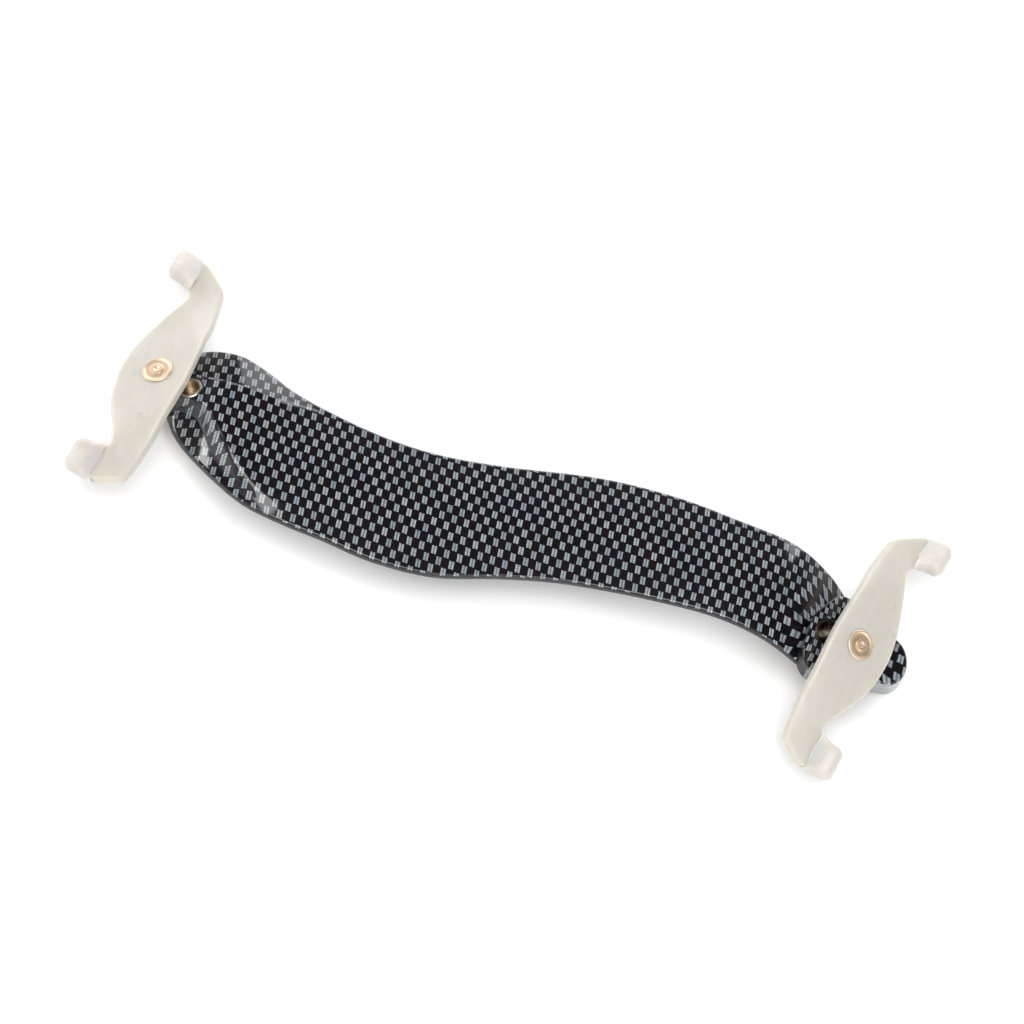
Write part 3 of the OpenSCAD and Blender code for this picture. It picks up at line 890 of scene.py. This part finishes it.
def fork(name, side, tag):
    """Fork plate with rounded ends, two claw cores, and a pocket for the screw's flange."""
    r = 0.6
    ys = [(FORK_HALF - r * (1 - math.sin(t)), r * (1 - math.cos(t)))
          for t in np.radians(np.arange(90, -1, -15))]
    ys += [(y, 0) for y in rows(FORK_HALF - r, 0, 70)[1:]]
    half = [fork_ring(y, inset) for y, inset in ys]
    other = [fork_ring(-y, inset) for y, inset in reversed(ys)]
    obj = loft(name, half + [fork_ring(0, 0)] + other, at_fork(side))
    for end in (-1, 1):
        boolean(obj, claw_core(at_claw(side, end), 0, -0.9), "UNION")
    flange_top = FLANGE_Z + FLANGE_T - FORK_TOP
    for radius, top in ((NECK_R + 0.02, 2), (FLANGE_R + 0.06, flange_top)):
        boolean(obj, disc_tool(radius, -FORK_T - 2, top, at_fork(side)), "DIFFERENCE")
    shade(dress(obj, "nylon"), 32)
    mount(obj, f"{tag}_foot", f"{tag}_fork")


def sleeve(name, side, end, tag, node):
    """Soft cap over one claw: it grows out of the fork's end and has a domed tip."""
    length, width, height = SLEEVE[0] - 0.15, SLEEVE[1], SLEEVE[2]
    # radii of the dome and of the mouth's edge, where the cap starts, and its flare there
    tip, mouth, start, flare = 2.2, 0.2, -0.5, 2.1
    along = [(start + mouth * (1 - math.cos(t)), mouth * (1 - math.sin(t)))
             for t in np.radians(np.arange(0, 91, 22.5))]
    along += [(x, 0) for x in rows(start + mouth, length - tip, 14)[1:]]
    along += [(length - tip * (1 - math.sin(t)), tip * (1 - math.cos(t)))
              for t in np.radians(np.arange(0, 91, 7.5))]
    rings = []
    for x, inset in along:
        grow = ease(x, start, 3.4)
        h = mix(1.75, height / 2, grow) - inset
        inner = width / 2 + 0.2 + flare * (1 - ease(x, start - 2, 3.8)) - inset
        outer = width / 2 + 0.6 - inset
        c = min(mix(1.2, 2.1, grow), h * 0.92)
        ring = []
        for quarter, (sy, sz) in enumerate(((1, 1), (-1, 1), (-1, -1), (1, -1))):
            w = outer if sy * end > 0 else inner
            for t in np.radians(np.arange(quarter * 90, quarter * 90 + 91, 11.25)):
                ring.append((x, sy * (w - c) + c * math.cos(t), sz * (h - c) + c * math.sin(t)))
        rings.append(ring)
    obj = loft(name, rings, at_claw(side, end))
    boolean(obj, claw_core(at_claw(side, end), FIT, -2), "DIFFERENCE")
    shade(dress(obj, "sleeve"), 40)
    mount(obj, f"{tag}_foot", node)


# Profiles above the insert's mouth: the flat washer, and the dished one from the fork's top
BEARING = [(2.55, 1.25), (3.95, 1.25), (4.1, 1.33), (4.1, 1.62), (3.95, 1.7), (2.65, 1.7),
           (2.55, 1.6)]
DISH = [(1.64, 0.12), (1.94, 0.12), (1.94, 0.03), (3.6, 0.03), (3.85, 0.08), (3.94, 0.2),
        (3.9, 0.36), (3.78, 0.46), (3.6, 0.5), (3.42, 0.47), (3.2, 0.36), (2.9, 0.29),
        (2.4, 0.27), (1.9, 0.31), (1.64, 0.36)]
# The inner inserts show in their bores; their brass is darkened there as painted shade
INNER_INSERT = {-1: ("left_bore_shaded_brass", "nickel"), 1: ("right_bore_black_brass", "right_bore_black_brass")}

for side, tag in ((-1, "left"), (1, "right")):
    insert(f"{tag}_outer_bush", at_socket(side), f"{tag}_outer_insert", "brass", "brass")
    insert(f"{tag}_inner_bush", at_inner(side), f"{tag}_inner_insert", *INNER_INSERT[side])
    screw = rod(f"{tag}_screw", -SCREW_L, FLANGE_Z - 0.05, at_socket(side), post_top())
    shade(dress(screw, "brass", "rivet"), 40)
    head = at_socket(side).inverted()
    for p in screw.data.polygons:
        p.material_index = 1 if (head @ (p.center / MM)).z > FORK_TOP else 0
    mount(screw, f"{tag}_foot", f"{tag}_post")
    mount(nut(f"{tag}_knurled_nut", side), f"{tag}_nut", f"{tag}_lock_nut")
    ring = lathe(f"{tag}_bearing_washer", BEARING, at_socket(side))
    shade(dress(ring, "nickel"), 38)
    mount(ring, f"{tag}_lift", f"{tag}_thrust_washer")
    dish = [(r, z + FORK_TOP) for r, z in DISH]
    washer = lathe(f"{tag}_dished_washer", dish, at_socket(side), 120)
    shade(dress(washer, "rivet"), 50)
    mount(washer, f"{tag}_foot", f"{tag}_rivet_washer")
    fork(f"{tag}_fork_plate", side, tag)
    for row, end in (("front", -side), ("rear", side)):
        sleeve(f"{tag}_{row}_claw_sleeve", side, end, tag, f"{tag}_{row}_sleeve")

# ---- floor, light and camera ----

floor_mat, tree, bsdf = nodes_of("pale_floor")
net = Net(tree)
mottle = net.spread(net.noise(2.5, 2.0), 0.3, 0.7, 0, 1)
net.link(net.mix(mottle, (0.93, 0.93, 0.93), (0.95, 0.95, 0.95)), bsdf.inputs["Base Color"])
finish(bsdf, Roughness=0.9)
REACH = 3000
floor = make("floor", [(-REACH, -REACH, 0), (REACH, -REACH, 0), (REACH, REACH, 0),
                       (-REACH, REACH, 0)], [(0, 1, 2, 3)], Matrix.Identity(4))
floor.data.materials.append(floor_mat)


def softbox(name, place, size, power):
    """Area light at place, in metres, aimed at the origin."""
    light = bpy.data.lights.new(name, "AREA")
    light.shape, light.size, light.size_y, light.energy = "RECTANGLE", *size, power
    obj = bpy.data.objects.new(name, light)
    bpy.context.scene.collection.objects.link(obj)
    obj.location = place
    obj.rotation_euler = (-Vector(place)).to_track_quat("-Z", "Y").to_euler()


# The flat top mirrors a direction 63 degrees up towards +Y, so no light stands there
softbox("overhead", (-0.1, -0.35, 1.25), (0.95, 0.8), 14)
softbox("front", (-0.5, -0.75, 0.8), (1.2, 0.9), 2.5)
softbox("right", (0.75, -0.65, 0.6), (1.0, 0.8), 6)
# These show mostly as reflections: along the rear, low at the horizon, and on the left
# end's rear flank and rim
softbox("rear", (0.25, 1.0, 0.56), (1.1, 0.34), 4.5)
softbox("horizon", (-0.1, 1.2, 0.13), (2.0, 0.26), 5)
softbox("flank", (-0.36, 0.87, 0.57), (0.36, 0.5), 1.7)
softbox("left_rim", (-1.1, 0.1, 0.4), (0.2, 0.7), 5)

# The world is bright near the horizon and nearly black above, to keep the print's blacks
world = bpy.data.worlds.new("studio")
world.use_nodes = True
net = Net(world.node_tree)
background = world.node_tree.nodes["Background"]
sky = net.node("ShaderNodeSeparateXYZ")
net.link(net.node("ShaderNodeTexCoord").outputs["Generated"], sky.inputs[0])
net.link(net.spread(sky.outputs[2], 0.12, 0.45, 0.85, 0.045), background.inputs["Strength"])
background.inputs["Color"].default_value = (1, 1, 1, 1)
bpy.context.scene.world = world
bpy.context.scene.view_settings.view_transform = "Standard"

# Camera 1.1 m away, and slightly off the base's middle; BACK points at the camera
DISTANCE, OFF_RIGHT, OFF_UP = 1.1, 0.00044, -0.00092
BACK = Vector((-0.053, -0.453, 0.890)).normalized()
RIGHT = Vector((0.930, 0.3025, 0.209))
RIGHT = (RIGHT - BACK * RIGHT.dot(BACK)).normalized()
UP = BACK.cross(RIGHT)
camera = bpy.data.objects.new("camera", bpy.data.cameras.new("camera"))
bpy.context.scene.collection.objects.link(camera)
camera.data.lens, camera.data.sensor_width = 150.8, 36
camera.matrix_world = Matrix.Translation(
    Vector(SHIFT) * MM + BACK * DISTANCE + RIGHT * OFF_RIGHT + UP * OFF_UP
) @ Matrix((RIGHT, UP, BACK)).transposed().to_4x4()
camera.data.clip_start, camera.data.clip_end = 0.1, 10
bpy.context.scene.camera = camera
